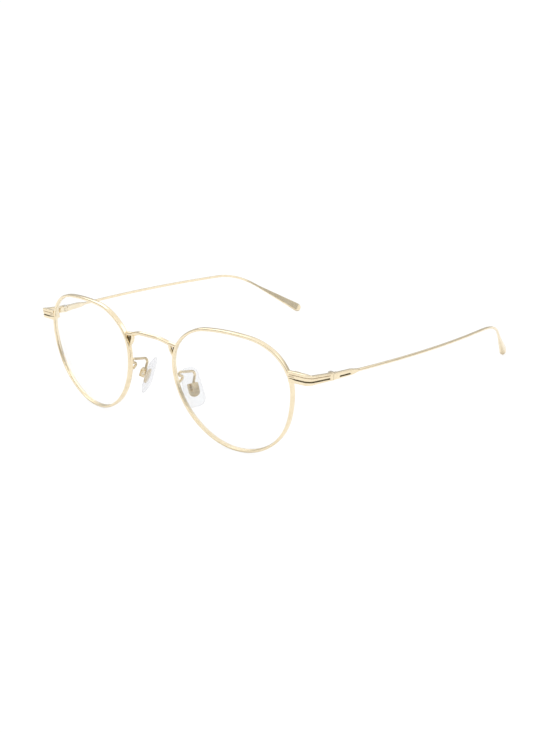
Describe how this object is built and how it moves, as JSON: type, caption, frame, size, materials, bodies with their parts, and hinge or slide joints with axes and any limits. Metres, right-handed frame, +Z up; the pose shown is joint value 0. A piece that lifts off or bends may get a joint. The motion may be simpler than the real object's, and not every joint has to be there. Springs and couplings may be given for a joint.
{
  "type": "eyeglasses",
  "caption": "Full-rim wire eyeglasses with panto lenses, bowed bridge, rocking nose pads and hinged temples with drop-shaped tips.",
  "frame": {"origin": "centre of the footprint of the open glasses, on the surface they stand on", "axes": "+Z up, +Y to the back along the open temples, +X to the wearer's left"},
  "size_m": [0.1442, 0.1552, 0.0441],
  "materials": {
    "frame_gold": "polished pale gold plating",
    "pad_metal": "polished pale gold plating",
    "screws": "satin",
    "lens": "clear polished",
    "silicone": "clear soft gloss"
  },
  "bodies": {
    "front": {"bridge": "frame_gold", "rim_left": "frame_gold", "lens_left": "lens", "endpiece_left": "frame_gold", "closing_block_upper_left": "frame_gold", "closing_block_lower_left": "frame_gold", "closing_screw_left": "screws", "hinge_front_left": "frame_gold", "hinge_screw_left": "screws", "pad_arm_left": "pad_metal", "pad_box_left": "pad_metal", "pad_screw_left": "screws", "rim_right": "frame_gold", "lens_right": "lens", "endpiece_right": "frame_gold", "closing_block_upper_right": "frame_gold", "closing_block_lower_right": "frame_gold", "closing_screw_right": "screws", "hinge_front_right": "frame_gold", "hinge_screw_right": "screws", "pad_arm_right": "pad_metal", "pad_box_right": "pad_metal", "pad_screw_right": "screws"},
    "temple_left": {"temple_left": "frame_gold", "hinge_temple_left": "frame_gold"},
    "pad_left": {"nose_pad_left": "silicone", "pad_core_left": "pad_metal"},
    "temple_right": {"temple_right": "frame_gold", "hinge_temple_right": "frame_gold"},
    "pad_right": {"nose_pad_right": "silicone", "pad_core_right": "pad_metal"}
  },
  "joints": [
    {"name": "temple_left_fold", "type": "hinge", "parent": "front", "child": "temple_left", "pos_m": [0.06646, -0.05942, 0.03042], "axis": [0.0155, 0.0616, 0.998], "range_deg": [0, 88]},
    {"name": "temple_right_fold", "type": "hinge", "parent": "front", "child": "temple_right", "pos_m": [-0.06646, -0.05942, 0.03042], "axis": [0.0155, -0.0616, -0.998], "range_deg": [0, 84]},
    {"name": "pad_left_rock", "type": "hinge", "parent": "front", "child": "pad_left", "pos_m": [0.01288, -0.06814, 0.01729], "axis": [0.3882, 0.9192, 0.0656], "range_deg": [-10, 10]},
    {"name": "pad_right_rock", "type": "hinge", "parent": "front", "child": "pad_right", "pos_m": [-0.01288, -0.06814, 0.01729], "axis": [0.3882, -0.9192, -0.0656], "range_deg": [-10, 10]}
  ]
}
